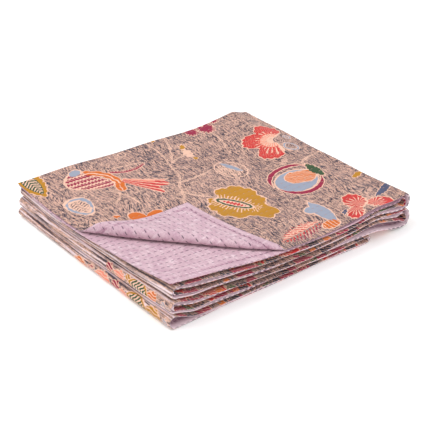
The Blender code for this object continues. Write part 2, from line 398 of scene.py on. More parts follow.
def sign(kind, turned=False):
    """A method that makes a Math node of its value and another, or of the two turned about."""

    def method(self, other):
        return op(kind, other, self) if turned else op(kind, self, other)

    return method


class V:
    """A value in a material.  Sums of these become Math nodes in V.tree."""

    tree = None
    __add__, __radd__ = sign("ADD"), sign("ADD", True)
    __sub__, __rsub__ = sign("SUBTRACT"), sign("SUBTRACT", True)
    __mul__, __rmul__ = sign("MULTIPLY"), sign("MULTIPLY", True)
    __truediv__ = sign("DIVIDE")
    __lt__, __gt__ = sign("LESS_THAN"), sign("GREATER_THAN")

    def __init__(self, socket):
        self.socket = socket

    def __abs__(self):
        return op("ABSOLUTE", self)


def set_inputs(node, values):
    """Inputs by name or number, from plain values, names of inks or other nodes' values."""
    for slot, value in values.items():
        if isinstance(value, V):
            V.tree.links.new(value.socket, node.inputs[slot])
        else:
            node.inputs[slot].default_value = linear(value) if isinstance(value, str) else value


def made(kind, output, values, **settings):
    """An output of a new node with these inputs and settings."""
    node = V.tree.nodes.new("ShaderNode" + kind)
    for setting, value in settings.items():
        setattr(node, setting, value)
    set_inputs(node, values)
    return V(node.outputs[output])


def op(kind, *values):
    return made("Math", 0, dict(enumerate(values)), operation=kind)


def nested(kind, *values):
    return reduce(lambda a, b: op(kind, a, b), values)


low, high = partial(nested, "MINIMUM"), partial(nested, "MAXIMUM")
root, sine, cosine, fract = (partial(op, kind) for kind in ("SQRT", "SINE", "COSINE", "FRACT"))


def soft(value, low_end, high_end):
    """0 below low_end, 1 above high_end, smooth between."""
    values = {"Value": value, "From Min": low_end, "From Max": high_end}
    return made("MapRange", "Result", values, interpolation_type="SMOOTHSTEP")


def split(vector):
    """A vector's numbers.  The cloth's third is below 0 in a crease's trough, above on a ridge."""
    node = V.tree.nodes.new("ShaderNodeSeparateXYZ")
    set_inputs(node, {0: vector})
    return [V(socket) for socket in node.outputs]


def vector_of(x, y):
    return made("CombineXYZ", 0, {0: x, 1: y})


def mapped(vector, at, scale):
    return made("Mapping", 0, {"Vector": vector, "Location": (*at, 0), "Scale": (*scale, 1)})


def noise(vector, scale, detail=1.0, rough=0.5):
    values = {"Vector": vector, "Scale": scale, "Detail": detail, "Roughness": rough}
    return made("TexNoise", "Fac", values, noise_dimensions="2D")


def streaks(vector, scale, detail=1.0, rough=0.5, at=(0, 0)):
    """Noise with one scale along the cloth and another across it."""
    return noise(mapped(vector, at, scale), 1.0, detail, rough)


def tint(colour, ink, mask):
    """colour, with an ink (a name or a colour) over it where mask is 1."""
    return made("Mix", 2, {0: mask, 6: colour, 7: ink}, data_type="RGBA")


# ---- shapes of the print: below 0 inside, in centimetres ----


def disc(x, y, rx, ry):
    return (root((x / rx) * (x / rx) + (y / ry) * (y / ry)) - 1) * min(rx, ry)


def lens(x, y, half, wide):
    return abs(y) - wide * (1 - (x / half) * (x / half))


def radius(x, y):
    return root(x * x + y * y)


def around(x, y):
    return op("ARCTAN2", y, x)


def lobes(angle, count, phase=0.0):
    """0 between lobes and 1 on them."""
    return abs(cosine((angle - phase) * (count / 2)))


def bump_at(angle, at, wide):
    """1 at an angle in degrees, fading over a width in degrees."""
    near = cosine(angle - math.radians(at))
    edge = math.cos(math.radians(wide))
    return soft(near, edge, 1.0)


class Print:
    """The print, drawn in cloth coordinates in centimetres, as one colour and what it covers.

    Shapes gather until flush() lays them down: bare peach cloth round them all first, then
    each in its ink.
    """

    REPEAT = (63.0, 53.0)

    def __init__(self, s, w):
        self.s, self.w = s, w
        self.colour = "peach"
        self.covered = 0.0
        self.halo = None
        self.layers = []
        self.once = False  # drawn once along the strip, or with the repeat

    def at(self, x, y, turn=0.0):
        """Coordinates about a motif's own centre, turned by degrees."""
        dx, dy = self.s - x, self.w - y
        if not self.once:
            dx, dy = (op("WRAP", d, n / 2, -n / 2) for d, n in zip((dx, dy), self.REPEAT))
        if turn == 0.0:
            return dx, dy
        c, s = math.cos(math.radians(turn)), math.sin(math.radians(turn))
        return op("MULTIPLY_ADD", dx, c, dy * s), op("MULTIPLY_ADD", dy, c, dx * -s)

    def clear(self, shape, by=0.0):
        """Bare peach cloth round a shape."""
        edge = shape - by if by else shape
        self.halo = edge if self.halo is None else low(self.halo, edge)

    def fill(self, shape, ink, by=0.24, lines=None):
        """A shape in ink, with peach lines left out of it where lines is 1."""
        self.clear(shape, by)
        mask = shape < 0
        if lines is not None:
            mask = mask * (1 - lines)
        self.lay(mask, ink)

    def lay(self, mask, ink):
        """Ink where mask is 1, on top of the shapes before it."""
        self.layers.append((mask, ink))

    def stem(self, x0, y0, x1, y1, bend):
        """A thin stem of two close peach lines."""
        long, turn = math.hypot(x1 - x0, y1 - y0), math.degrees(math.atan2(y1 - y0, x1 - x0))
        x, y = self.at(x0, y0, turn)
        off = y - x * (long - x) * (bend * 4 / long**2)
        line = abs(abs(off) - 0.13) - 0.07
        self.clear(high(line, 0 - x, x - long))

    def flush(self):
        bare = self.halo < 0
        self.covered = high(self.covered, bare)
        self.colour = tint(self.colour, "peach", bare)
        for mask, ink in self.layers:
            self.colour = tint(self.colour, ink, mask)
        self.halo, self.layers = None, []


STEMS = (
    # from, to, bend: centimetres
    (28.8, 50.0, 28.4, 40.0, 0.3),
    (28.4, 40.0, 26.8, 34.0, -0.3),
    (26.8, 34.0, 23.6, 29.6, 0.3),
    (34.2, 50.0, 28.4, 38.0, 0.5),
    (28.4, 38.0, 32.3, 39.3, 0.3),
    (24.6, 30.8, 33.2, 31.9, -0.5),
    (23.6, 29.6, 20.6, 24.0, 0.4),
    (22.6, 27.9, 26.4, 22.9, -0.4),
    (47.6, 21.8, 56.0, 24.0, 0.5),
    (53.4, 12.2, 57.5, 16.5, -0.6),
    (12.0, 36.5, 14.2, 28.6, 0.9),
    (10.2, 31.4, 13.6, 34.6, -0.5),
    (42.5, 45.2, 41.0, 37.5, 0.6),
)

PETALS = (
    # plain petals and spots: centre, turn, half length, half width, ink
    (33.9, 42.3, 62, 1.35, 0.50, "ochre"),
    (33.5, 37.4, 90, 0.62, 0.50, "ochre"),
    (30.9, 48.6, 70, 1.3, 0.55, "ochre"),
    (53.2, 12.1, 12, 1.5, 0.62, "ochre"),
    (7.9, 27.3, -30, 0.7, 0.4, "orange"),
    (53.0, 4.5, 20, 4.0, 0.78, "navy"),
    (41.6, 3.0, 35, 1.0, 0.5, "navy"),
    (58.0, 32.0, 70, 3.0, 1.0, "coral"),
    (60.0, 20.0, -50, 3.2, 1.2, "ochre"),
    (58.6, 44.0, 30, 2.6, 0.9, "crimson"),
)


def draw_ochre_flower(p):
    x, y = p.at(28.6, 18.2)
    angle, r = around(x, y), radius(x, y)
    outline = 4.75 + 0.65 * lobes(angle, 10, 0.35) + 0.25 * lobes(angle, 23)
    outline = outline + 2.9 * bump_at(angle, 291, 24) + 1.2 * bump_at(angle, 58, 50)
    outline = outline - 0.9 * bump_at(angle, 113, 13)
    u, v = p.at(28.1, 18.6, -60)
    eye = disc(u, v, 3.6, 1.25)
    reach = disc(u, v, 4.7, 2.6) + 0.35 * sine(u * 2.3) + 0.25 * sine(u * 7.1)
    rays = (fract(u * 2.0 / (1 + 0.20 * abs(v))) < 0.36) * (reach < 0)
    p.fill(r - outline, "ochre", 0.30, rays)
    p.lay(eye < 0.16, "peach")
    p.lay(eye < 0, "green")
    p.lay(disc(u, v, 3.05, 0.74) < 0, "peach")
    jag = 0.20 * sine(u * 9.0)
    p.lay(lens(u, v, 2.3, 0.42) - jag < 0, "coral")


def draw_pomegranate(p):
    x, y = p.at(43.0, 18.2)
    for rx, ry, side in ((5.2, 5.1, 1), (4.9, 5.3, -1)):
        ring = disc(x, y, rx, ry)
        thick = 0.46 * bump_at(around(x, y), 100 * side, 78)
        arc = high(abs(ring + 0.1) - thick, 0.4 - y * side)
        p.fill(arc, "crimson", 0.20)
    x, y = p.at(42.7, 17.7, -4)
    p.fill(disc(x, y, 4.2, 3.7), "slate", 0.30)
    x, y = p.at(44.2, 18.3, -28)
    hatch = fract((x * 0.5 + y * 1.6) * 1.35) < 0.36
    leaf = high(disc(x, y, 3.2, 2.5), abs(y) - 2.1)
    p.lay(leaf < 0, "peach")
    p.lay((leaf + 0.18 < 0) * (1 - hatch), "orange")
    x, y = p.at(47.75, 18.2, 90)
    teeth = 0.45 * abs(fract(x * 1.15) - 0.5)
    p.fill(lens(x, y, 3.0, 1.05) + teeth, "green", 0.2)


def draw_coral_half(p):
    x, y = p.at(49.2, 32.5)
    angle, r = around(x, y), radius(x, y)
    edge = 3.5 + 0.36 * lobes(angle, 30)
    for at, long in ((66, 2.9), (140, 2.3), (228, 3.0)):
        edge = edge + long * bump_at(angle, at, 42)
    cut = (cosine(angle + math.radians(34)) - 0.375) * r
    ray = fract(angle * 4.3)
    inside = 3.4 + 0.5 * sine(angle * 9.0) + 0.3 * sine(angle * 23.0)
    inside = inside + 1.9 * bump_at(angle, 236, 34)
    p.fill(high(r - edge, cut), "coral", 0.30, (ray < 0.36) * (r < inside))
    speckle = sine(x * 11 + 1.2 * sine(y * 5)) * sine(y * 12)
    p.lay(high(r - edge + 0.5, cut) * (speckle > 0.62) < 0, "coral pale")
    p.lay(high(r - 2.5, cut) < 0, "peach")
    p.lay((high(r - 2.9, cut) < 0) * (ray < 0.42) * (r > 1.2), "coral pale")
    for x0, y0, rx, thick, ink in (
        (50.1, 31.6, 0.95, 0.11, "streak"),
        (50.6, 28.4, 1.35, 0.17, "slate"),
        (53.0, 32.6, 0.60, 0.16, "slate"),
    ):
        x, y = p.at(x0, y0)
        ring = disc(x, y, rx, rx * 1.15)
        p.clear(abs(ring) - thick, 0.12)
        p.lay(abs(ring) - thick < 0, ink)


def draw_crimson_lobes(p):
    for x0, y0, rx, ry in ((39.5, 47.2, 1.45, 2.0), (42.9, 46.7, 1.75, 2.5), (46.0, 48.4, 1.2, 1.6)):
        x, y = p.at(x0, y0)
        angle = around(x, y)
        teeth = 0.34 * lobes(angle, 12) + 0.22 * sine(angle * 17)
        p.fill(disc(x, y, rx, ry) + teeth, "crimson", 0.24, radius(x, y - 1.1) < 0.3)


def draw_left_leaf(p):
    x, y = p.at(1.9, 46.9, 90)
    p.fill(lens(x, y, 5.6, 2.45) + 0.12 * sine(x * 5), "ochre", 0.26)
    inner = lens(x + 0.25, y, 4.5, 1.5)
    veins = fract((x + 0.95 * abs(y)) * 1.35) < 0.45
    p.lay(inner < 0, "green")
    p.lay((inner + 0.12 < 0) * veins, "peach")


def draw_ring(p):
    x, y = p.at(4.9, 34.2)
    egg = disc(x * (1 - 0.09 * y), y, 2.2, 3.25)
    angle = around(x, y)
    p.clear(abs(egg + 0.2) - 0.30, 0.20)
    p.clear(high(egg + 0.75, 0.5 - (fract(y * 1.5 + 0.3 * sine(x * 4)) < 0.5)))
    thick = 0.24 + 0.12 * sine(angle * 2.0 + 0.8) + 0.07 * sine(angle * 9.0)
    p.lay(abs(egg + 0.2) - thick < 0, "slate")


def draw_bird(p):
    x, y = p.at(11.5, 38.9)
    r = disc(x, y, 4.7, 5.3)
    end = (0.05 - bump_at(around(x, y), 17, 72)) * 8
    wing = high(abs(r + 0.3) - 0.75 - 0.12 * sine(around(x, y) * 15), end)
    p.fill(wing, "orange", 0.18, abs(r + 0.35 + 0.1 * sine(around(x, y) * 9)) < 0.16)
    x, y = p.at(15.0, 36.2, 75)
    p.fill(lens(x, y, 1.8, 0.85), "orange", 0.15, abs(y) < 0.12)
    x, y = p.at(11.2, 40.8, -40)
    body = disc(x, y * (1 + 0.08 * x), 4.5, 2.55)
    u, v = p.at(11.2, 40.9, -3)
    rows = fract(v * 0.80 + 0.14 * sine(u * 8.5)) < 0.36
    breaks = fract(u * 1.4 + 0.3 * v) < 0.12
    p.fill(body, "crimson", 0.24, high(rows, breaks))
    x, y = p.at(10.6, 45.0, 20)
    p.fill(disc(x, y, 1.3, 0.95), "slate", 0.2)
    x, y = p.at(16.8, 38.3, -53)
    wide = 0.62 + 0.23 * x
    across_it = y / wide
    stripe = fract(across_it * 2.0 + 0.5) < 0.30
    tail = high((abs(across_it) - 1) * 1.2, 0 - x, x - 8.3 - 0.8 * sine(across_it * 5.5))
    p.fill(tail, "coral", 0.15, stripe)
    p.lay((tail < 0) * (1 - stripe) * (across_it > 0.5) * (x < 6), "coral pale")


def draw_feather(p):
    x, y = p.at(16.4, 41.9, -8)
    curve = y + 0.34 * x * (7.2 - x) * 0.24
    teeth = 0.34 * (fract(x * 1.9) < 0.5)
    blade = high(abs(curve - 0.12) - 0.2 - teeth * (curve > 0), 0 - x, x - 7.4)
    p.fill(blade, "crimson", 0.18)
    arch = abs(y - 0.9 - 0.1 * x * (7.4 - x) * 0.3) - 0.09
    p.clear(high(arch, 0 - x, x - 7.2))


def draw_slate_leaf(p):
    x, y = p.at(36.9, 30.4, -74)
    p.fill(lens(x, y, 2.9, 0.62), "slate", 0.1)
    x, y = p.at(36.2, 29.6, 8)
    p.clear(abs(disc(x, y, 2.8, 3.7)) - 0.1)
    inner = disc(x + 0.3, y, 2.1, 2.9)
    p.clear(high(inner, 0.5 - (fract(x * 1.8 + 0.3 * sine(y * 4)) < 0.45)))


def draw_bell(p):
    x, y = p.at(33.4, 39.8, 80)
    p.clear(disc(x, y, 1.7, 1.0) + 0.15 * sine(x * 6))
    x, y = p.at(22.3, 46.6)
    p.clear(abs(radius(x, y) - 0.75) - 0.11)


def draw_near_edge(p):
    x, y = p.at(38.6, 5.9, 86)
    body = low(lens(x, y, 4.4, 1.4), disc(x - 1.7, y - 1.5, 1.1, 1.1))
    p.fill(body, "slate", 0.22)
    x, y = p.at(37.0, 1.8)
    p.fill(disc(x, y, 1.85, 1.2), "orange", 0.2, fract(x * 1.3) < 0.22)
    x, y = p.at(31.0, 3.0, 8)
    blade = lens(x, y, 5.6, 2.1)
    barbs = fract((x + 0.9 * abs(y)) * 1.15) < 0.46
    breaks = fract(abs(y) * 1.25 + 0.12 * sine(x * 7)) > 0.20
    strokes = (blade + 0.25 * sine(x * 9) < 0) * barbs * breaks * (abs(y) > 0.12)
    p.clear(low(0.5 - strokes, high(blade + 0.2, 0.1 - y)))
    p.lay(strokes * (y > -0.9), "coral")
    p.lay(strokes * (y < -0.9), "crimson")
    for x0, y0, turn, half, wide in (
        (45.2, 4.6, 88, 2.5, 1.9),
        (42.9, 1.6, 222, 1.9, 1.5),
        (48.6, 1.3, -14, 2.5, 1.6),
    ):
        x, y = p.at(x0, y0, turn)
        angle = around(x + 1.2, y)
        rays = (fract(angle * 2.6) < 0.34) * (x < 0.6 + 0.5 * sine(angle * 19))
        petal = disc(x, y, half, wide) + 0.24 * lobes(around(x, y), 11) - 0.1
        p.fill(petal, "coral", 0.24, rays)


def draw_orange_flower(p):
    x, y = p.at(11.4, 22.2)
    angle, r = around(x, y), radius(x, y)
    p.fill(r - 2.1 - 2.6 * lobes(angle, 5, 1.75), "orange", 0.26)
    p.lay(r < 1.3, "ochre")


FOLD_PETALS = (
    # parts of the print that show only on the left folds, along the strip from its start
    (319.6, 26.3, 85, 2.2, 0.90, "orange"),
    (320.3, 23.1, 100, 0.9, 0.28, "crimson"),
    (319.9, 19.4, 88, 2.4, 0.95, "coral pale"),
    (320.2, 15.5, 78, 1.2, 0.70, "crimson"),
    (319.5, 13.4, 92, 1.4, 0.80, "coral pale"),
    (319.8, 4.6, 86, 2.3, 1.05, "ochre"),
    (319.9, 1.3, 80, 0.8, 0.50, "slate"),
    (417.5, 18.0, 80, 1.1, 0.65, "crimson"),
    (417.3, 14.9, 86, 1.6, 0.65, "coral pale"),
    (417.8, 12.6, 80, 0.8, 0.50, "ochre"),
    (417.3, 5.4, 88, 1.5, 0.75, "orange"),
    (417.2, 2.1, 80, 0.7, 0.45, "slate"),
)
FOLD_LEAVES = ((319.9, 9.3), (417.2, 9.3))
FOLD_MIDDLES = (319.95, 417.10, 527.15)  # of the big left folds


def draw_fold_leaf(p, x0, y0):
    x, y = p.at(x0, y0, 86)
    p.fill(lens(x, y, 2.9, 1.25), "ochre", 0.2)
    strokes = fract((x + 0.9 * abs(y)) * 1.25 + 0.1 * sine(y * 9)) < 0.5
    inner = lens(x, y, 2.5, 1.05)
    p.lay(inner < 0, "peach")
    p.lay((inner < 0) * strokes, "green")


def draw_edge_bits(p):
    """Tips of flowers and leaves that run off the near edge of the hidden sheets, and dark patches
    among them that are painted shade.
    """
    s = p.s
    reach = 1.0 + 0.5 * sine(s * 0.71) + 0.35 * sine(s * 3.1) + 0.25 * sine(s * 7.7)
    band = high(low(p.w, WIDTH * 100 - p.w) - reach, 56.0 - s)
    drawn = fract(s * 1.3 + p.w * 1.1) < 0.16
    for ink, step, offset, wide in (
        ("crimson", 12.3, 3.1, 0.27),
        # painted shade: dark patches along the sheets' edges, for the shaded gaps between the sheets
        ("streak dark", 9.7, 9.4, 0.26),
        ("orange", 19.1, 2.2, 0.07),
        ("crimson", 23.7, 15.7, 0.12),
        ("green", 29.1, 21.3, 0.06),
    ):
        place = abs(fract((s + offset) / step) - 0.5) * step
        p.fill(high(band, place - wide * step * 0.5), ink, 0.10, drawn)


def ground_colour(cloth):
    """Slate hatching and fine wandering lines left bare on a tan ground."""
    s, w, _ = split(cloth)
    wide = streaks(cloth, (9, 9))
    lean = streaks(cloth, (11, 8)) - 0.5
    thick = streaks(cloth, (16, 12), at=(2, 9))
    s1, w1, _ = split(mapped(cloth, (0, 0), (330, 46)))
    hatch = noise(vector_of(s1 + lean * 16, w1), 1.0, 2.0, 0.6)
    s2, w2, _ = split(mapped(cloth, (5, 3), (250, 38)))
    drawn = abs(noise(vector_of(s2 + lean * 14, w2), 1.0, 1.0, 0.5) - 0.5)
    curls = abs(streaks(cloth, (140, 105), 2, 0.6, (7, 1)) - 0.5)
    tangle = abs(streaks(cloth, (170, 58), 2, 0.6) - 0.5)
    ground = tint("base", "tan deep", soft(wide, 0.38, 0.62) * 0.45)
    ground = tint(ground, "streak", soft(hatch + (wide - 0.5) * 0.16, 0.48, 0.55) * 0.76)
    ground = tint(ground, "streak dark", soft(drawn, 0.070, 0.034) * soft(thick, 0.28, 0.44) * 0.95)
    ground = tint(ground, "streak dark", soft(curls, 0.044, 0.020) * soft(thick, 0.56, 0.42) * 0.9)
    ground = tint(ground, "peach", soft(tangle, 0.034, 0.016) * 0.8)
    on_folds = soft(low(*(abs(s - middle / 100) for middle in FOLD_MIDDLES)), 0.023, 0.017)
    pulled = streaks(cloth, (300, 9), 2, 0.6, (1, 4))
    ground = tint(ground, "peach", on_folds * 0.30)
    ground = tint(ground, "streak dark", soft(pulled, 0.57, 0.62) * on_folds * 0.85)
    return tint(ground, "lilac pale", soft(pulled, 0.45, 0.38) * on_folds * 0.75)


def petals(p, table, streaked=False):
    for x0, y0, turn, half, wide, ink in table:
        x, y = p.at(x0, y0, turn)
        shape = lens(x, y, half, wide) + 0.10 * sine(x * 7 + y * 3)
        p.fill(shape, ink, 0.16, fract(y * 2.1 + 0.2 * sine(x * 3)) < 0.38 if streaked else None)
        p.flush()


def print_colour(s, w, cloth):
    """The print over its streaked ground."""
    p = Print(s, w)
    for stem in STEMS:
        p.stem(*stem)
        p.flush()
    petals(p, PETALS)
    for draw in (
        draw_orange_flower, draw_ochre_flower, draw_pomegranate, draw_coral_half,
        draw_crimson_lobes, draw_left_leaf, draw_ring, draw_bird, draw_feather,
        draw_slate_leaf, draw_bell, draw_near_edge, draw_edge_bits,
    ):
        draw(p)
        p.flush()
    p.once = True
    on_folds = low(*(abs(s - middle) for middle in FOLD_MIDDLES)) < 2.2
    p.covered = p.covered * (1 - on_folds)
    petals(p, FOLD_PETALS, True)
    for x0, y0 in FOLD_LEAVES:
        draw_fold_leaf(p, x0, y0)
        p.flush()
    return tint(ground_colour(cloth), p.colour, p.covered)


def lilac_colour(cloth):
    """Plain dyed cloth, with the mottling of a hand dye, thin mauve lines, and a painted highlight
    along the edges of the sheets inside the stack.
    """
    s, w, _ = split(cloth)
    mottle = noise(cloth, 40, 3, 0.6)
    drawn = streaks(cloth, (36, 150), 3, 0.6)
    crossed = streaks(cloth, (170, 44), 2, 0.6, (3, 5))
    crackle = abs(streaks(cloth, (110, 150), 2, 0.6) - 0.5)
    colour = tint("lilac", "lilac deep", soft(mottle, 0.40, 0.68) * 0.45)
    colour = tint(colour, "lilac deep", soft(drawn, 0.50, 0.72) * 0.60)
    colour = tint(colour, "lilac pale", soft(crossed, 0.52, 0.74) * 0.50)
    colour = tint(colour, "mauve", soft(crackle, 0.030, 0.0) * 0.45)
    # Painted highlight: paler along the near and far edges of the sheets inside the stack.
    painted_highlight_sheets = (s > 0.535) * (s < 5.8)
    return tint(colour, "lilac pale", soft(low(w, WIDTH - w), 0.018, 0.004) * painted_highlight_sheets * 0.85)


def wander(w, s, sin, way=1):
    """w moved as the hand-sewn rows drift along s; sin takes nodes, arrays or plain numbers."""
    return w + way * 0.0011 * sin(s * 17) + way * 0.0006 * sin(s * 41 + 1.3)


def cloth_material(name):
    """A new material, its shader and the cloth vector: how far along, how far across, crease."""
    material = bpy.data.materials.new(name)
    material.use_nodes = True
    V.tree = material.node_tree
    shader = V.tree.nodes["Principled BSDF"]
    return material, shader, made("Attribute", "Vector", {}, attribute_name="cloth")


def finish(shader, colour, height, distance, strength, others):
    """Gives a shader its colour, its bump and its other values."""
    bump = made("Bump", 0, {"Distance": distance, "Strength": strength, "Height": height})
    set_inputs(shader, {"Base Color": colour, "Normal": bump, **others})


COTTON = {"Roughness": 0.88, "Specular IOR Level": 0.25, "Sheen Weight": 0.12, "Sheen Roughness": 0.5}


def fabric(name, printed):
    """The cotton of the printed face or of the plain back, with its sewing."""
    material, shader, cloth = cloth_material(name)
    s, w, _ = split(cloth)
    wobble = noise(cloth, 120) - 0.5
    wobble_2 = noise(mapped(cloth, (3, 7), (1, 1)), 140) - 0.5
    if printed:
        colour = print_colour(s * 100 + wobble * 0.30, w * 100 + wobble_2 * 0.30, cloth)
    else:
        colour = lilac_colour(cloth)

    row = wander(w, s, sine) / ROW_PITCH
    number = op("ROUND", row)
    aside = abs(row - number) * ROW_PITCH
    shift = 0.0 if printed else BACK_SHIFT
    along_row = fract(s / STITCH_PITCH + number * ROW_SHIFT + shift)
    dash = (aside < THREAD * 0.8) * (along_row < STITCH_LONG / STITCH_PITCH)
    worn = soft(streaks(cloth, (15, 15), at=(6, 2)), 0.40, 0.60)
    colour = tint(colour, "thread", dash * (0.14 if printed else 0.45 + 0.45 * worn))
    hem = abs(low(w, WIDTH - w, s) - HEM_IN + 0.0012 * sine(s * 90) * sine(s * 37))
    if printed:
        colour = tint(colour, "thread", soft(hem, 0.0010, 0.0003) * 0.20)
    else:
        # Painted shade: mauve ticks along the hem, where its puckers are shaded.
        pucker_shade = soft(streaks(cloth, (300, 70)), 0.47, 0.58)
        colour = tint(colour, "mauve", soft(hem, 0.0070, 0.002) * pucker_shade * 0.50)
        turned = (s > HEM_IN * 1.5) * (s < 0.5)
        colour = tint(colour, "mauve", soft(hem, 0.0014, 0.0005) * (0.15 + 0.60 * turned))
    crease = split(cloth)[2]
    # Painted shade in the creases' troughs, and on their ridges a paler colour that is partly painted
    # highlight and partly wear.
    colour = tint(colour, "streak dark", soft(crease, -0.15, -0.85) * 0.85)
    colour = tint(colour, "lilac pale", soft(crease, 0.25, 0.85) * 0.85)
    fading = 0.845 + 0.14 * noise(cloth, 22, 2) + 0.17 * noise(cloth, 520, 2, 0.7)
    colour = made("VectorMath", 0, {0: colour, "Scale": fading}, operation="SCALE")

    puff = soft(aside, 0.0, 0.0045) * 0.00040
    dimple = soft(aside, 0.0016, 0.0) * dash * -0.0002
    crinkle = streaks(cloth, (260, 110), 3, 0.6) * 0.00045
    weave = (sine(s * 7200) + sine(w * 7200)) * 0.00002
    finish(shader, colour, puff + dimple + crinkle + weave, 1.0, 0.8, COTTON)
    return material


# ---- the cloths ----


def surface(strip, s, w, side, out):
    """Points on one side (1 print, -1 back) of the folded quilt, out from its skin."""
    step = 2e-4
    ahead = place(strip, s + step, w) - place(strip, s - step, w)
    over = place(strip, s, np.minimum(w + step, WIDTH)) - place(strip, s, np.maximum(w - step, 0))
    normal = np.cross(ahead, over)
    normal /= np.linalg.norm(normal, axis=1)[:, None]
    points = place(strip, s, w) + normal * (side * (SKIN + out))[:, None]
    return points - [*CENTRE, 0], normal * side


FOLD_CREASES = {
    # sheet that each big left fold leads to: how far round the fold, trough (below 0) or ridge,
    # how far it wanders
    3: (
        (0.05, -1.0, 0.010), (0.14, 1.0, 0.015), (0.23, -1.0, 0.020), (0.34, 1.0, 0.020),
        (0.47, -1.0, 0.020), (0.57, 0.8, 0.020), (0.67, -0.8, 0.025), (0.95, -0.8, 0.010),
    ),
    7: (
        (0.04, -0.8, 0.010), (0.13, 1.0, 0.015), (0.23, -0.8, 0.020),
        (0.36, 0.9, 0.025), (0.47, -0.6, 0.030), (0.90, 0.8, 0.012),
    ),
    11: ((0.50, -0.35, 0.060), (0.84, -1.0, 0.015), (0.93, 1.0, 0.010)),
}


def creases(strip, s, w):
    """Lengthwise creases of the big left folds: -1 in a narrow trough, 1 on a wide ridge."""
    out = np.zeros(len(s))
    for part in strip:
        number = part["fold"][2] if "fold" in part else None
        if number not in FOLD_CREASES:
            continue
        u = (s - part["at"]) / part["long"]
        for k, (at, much, sway) in enumerate(FOLD_CREASES[number]):
            wave = np.sin(w * 19 + 1.7 * k + number) + 0.6 * np.sin(w * 47 + 2.9 * k)
            aside = (u - at - sway * wave) * part["long"]
            comes_and_goes = 0.8 + 0.2 * np.sin(w * 31 + 2.3 * k + 0.8 * number)
            wide = 0.0009 if much < 0 else 0.0018
            out += much * comes_and_goes * np.exp(-((aside / wide) ** 2))
    return np.clip(out, -1, 1)


def relief(s, w, shown):
    """How far the quilted cloth puffs out between its rows of stitches."""
    row = wander(w, s, np.sin) / ROW_PITCH
    puff = np.abs(np.sin(math.pi * row)) ** 0.8 - 0.6
    soft_wave = np.sin(s * 310 + 3 * np.sin(w * 60)) * np.sin(w * 190 + 2 * np.sin(s * 45))
    from_edge = np.minimum(np.minimum(w, WIDTH - w), s)
    hem = np.exp(-((from_edge - HEM_IN) ** 2) / (2 * 0.0012**2))
    pucker = np.sin(s * 520 + 2 * np.sin(s * 90)) * np.exp(-(((from_edge - 0.011) / 0.007) ** 2))
    quilted = (0.00022 + 0.00022 * shown) * puff + 0.00012 * soft_wave
    return quilted - 0.0004 * hem * (0.4 + shown) + 0.00028 * pucker * shown


def spread(*parts):
    """Stations from (start, end, count) runs, each run's end left to the next one."""
    out = [np.linspace(a, b, n, endpoint=False) for a, b, n in parts]
    return np.append(np.concatenate(out), parts[-1][1])


def strip_end(strip):
    return strip[-1]["at"] + strip[-1]["long"]


def in_scene(name, data):
    """A new object of the scene with this mesh, light or camera."""
    thing = bpy.data.objects.new(name, data)
    bpy.context.scene.collection.objects.link(thing)
    return thing


def new_piece(name, points, cloth, faces, material):
    """A smooth piece of four-sided faces, with the cloth vector of each point."""
    mesh = bpy.data.meshes.new(name)
    mesh.from_pydata(points.tolist(), [], faces.tolist())
    mesh.polygons.foreach_set("use_smooth", np.ones(len(faces), bool))
    mesh.attributes.new("cloth", "FLOAT_VECTOR", "POINT")
    mesh.attributes["cloth"].data.foreach_set("vector", cloth.astype(np.float32).ravel())
    mesh.materials.append(material)
    return in_scene(name, mesh)


RELIEF_FROM = 0.003  # the relief grows over this much from the edge
CREASE_DEEP = 0.0008
LIP_THIN = 0.00012  # half the thickness that the rounded edge ends with


def sheet_mesh(name, strip, patches, side, material):
    """One cloth as a single sheet: patches of points in rows, with edges rounded into the hem.

    patches: (stations along, stations across, how much of it shows).
    """
    end = strip_end(strip)
    all_points, all_cloth, all_faces, first = [], [], [], 0
    for stations, rows, shown in patches:
        s, w = np.meshgrid(stations, rows, indexing="ij")
        index = first + np.arange(s.size).reshape(s.shape)
        s, w = s.ravel(), w.ravel()
        from_edge = np.minimum(np.minimum(w, WIDTH - w), np.minimum(s, end - s))
        drop = np.clip(1 - from_edge / LIP, 0, 1)
        crease = creases(strip, s, w) if side > 0 else np.zeros(len(s))
        out = relief(s, w, shown) + CREASE_DEEP * crease
        out = out * np.clip(from_edge / RELIEF_FROM, 0, 1)
        out = out - (SKIN - LIP_THIN) * (1 - np.sqrt(np.clip(1 - drop**2, 0, 1)))
        points, _ = surface(strip, s, w, side, out)
        all_points.append(points)
        all_cloth.append(np.column_stack([s, w, crease]))
        a, b = index[:-1, :-1].ravel(), index[1:, :-1].ravel()
        c, d = index[1:, 1:].ravel(), index[:-1, 1:].ravel()
        all_faces.append(np.column_stack([a, b, c, d] if side > 0 else [a, d, c, b]))
        first += len(s)
    points, cloth, faces = np.vstack(all_points), np.vstack(all_cloth), np.vstack(all_faces)
    piece = new_piece(name, points, cloth, faces, material)
    baking_map(piece.data, cloth, faces)
    return piece


def baking_map(mesh, cloth, faces):
    """The cloth laid out in bands of a sheet each, so that the print bakes without seams."""
    band_long, bands = 0.62, 10
    middle = cloth[faces, 0].mean(axis=1)
    band = np.floor(middle / band_long)
    s = cloth[faces, 0] - (band * band_long)[:, None]
    u = 0.005 + 0.99 * s / band_long * 0.98
    v = (band[:, None] + 0.02 + 0.96 * cloth[faces, 1] / WIDTH) / bands
    layer = mesh.uv_layers.new(name="OFBake")
    layer.data.foreach_set("uv", np.stack([u, v], axis=-1).astype(np.float32).ravel())


def near_rows(pitch):
    """Rows close together at both edges and far apart between."""
    depth = 0.03
    edge = [*LIP_STEPS, 0.002, 0.0035, 0.006, 0.009, 0.013, 0.018, 0.024, depth]
    inside = np.arange(depth + pitch, WIDTH - depth - pitch / 2, pitch)
    return np.concatenate([edge, inside, [WIDTH - e for e in edge[::-1]]])


